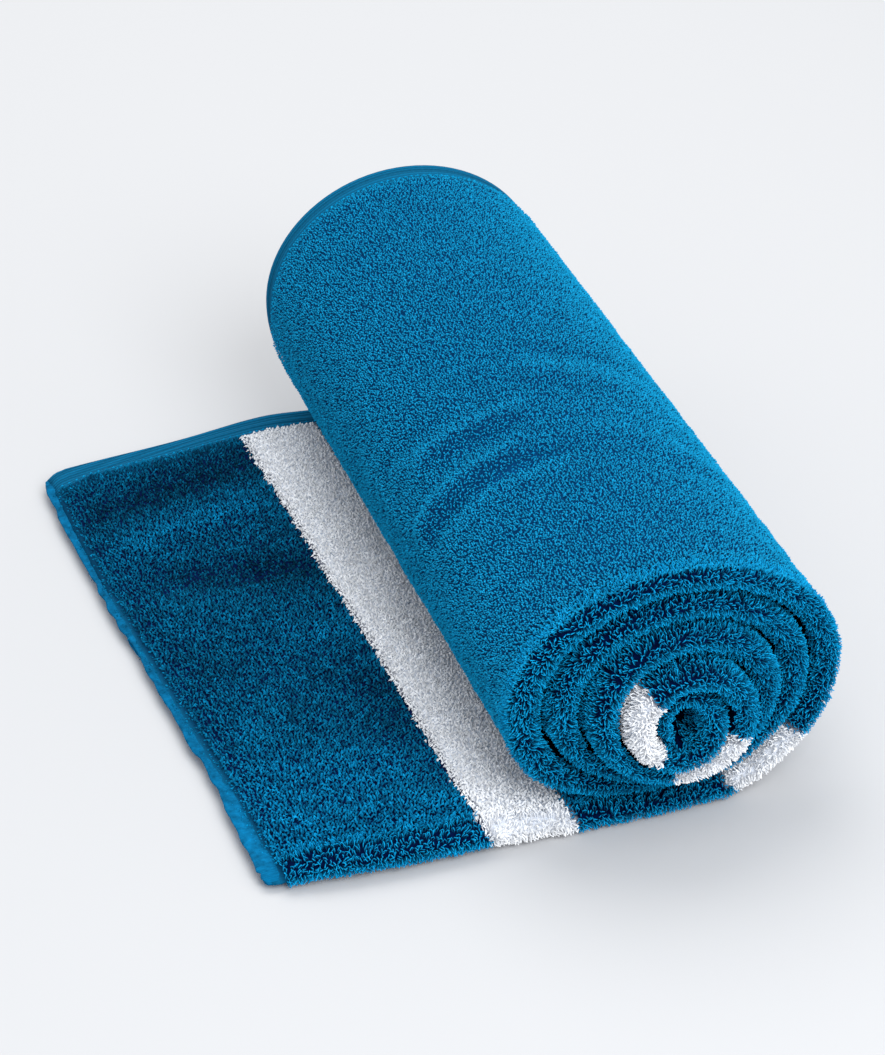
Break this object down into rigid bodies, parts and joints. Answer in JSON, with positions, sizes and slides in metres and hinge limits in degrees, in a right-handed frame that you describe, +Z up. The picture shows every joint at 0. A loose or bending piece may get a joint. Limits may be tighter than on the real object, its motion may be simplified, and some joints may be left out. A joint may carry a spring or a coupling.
{
  "type": "rolled bath towel",
  "caption": "Striped terry bath towel folded in half along its length and rolled up from one end, with the other end left lying flat as a flap.",
  "frame": {"origin": "on the floor under the middle of the roll, in the flat underside it rests on", "axes": "+Z up; +Y along the roll, from its folded end to its hemmed end; the flap lies towards -X"},
  "size_m": [0.2596, 0.3773, 0.1291],
  "materials": {
    "terry": "cotton loop pile, blue with white cross stripes"
  },
  "bodies": {
    "root": {"towel": "terry"}
  },
  "joints": []
}
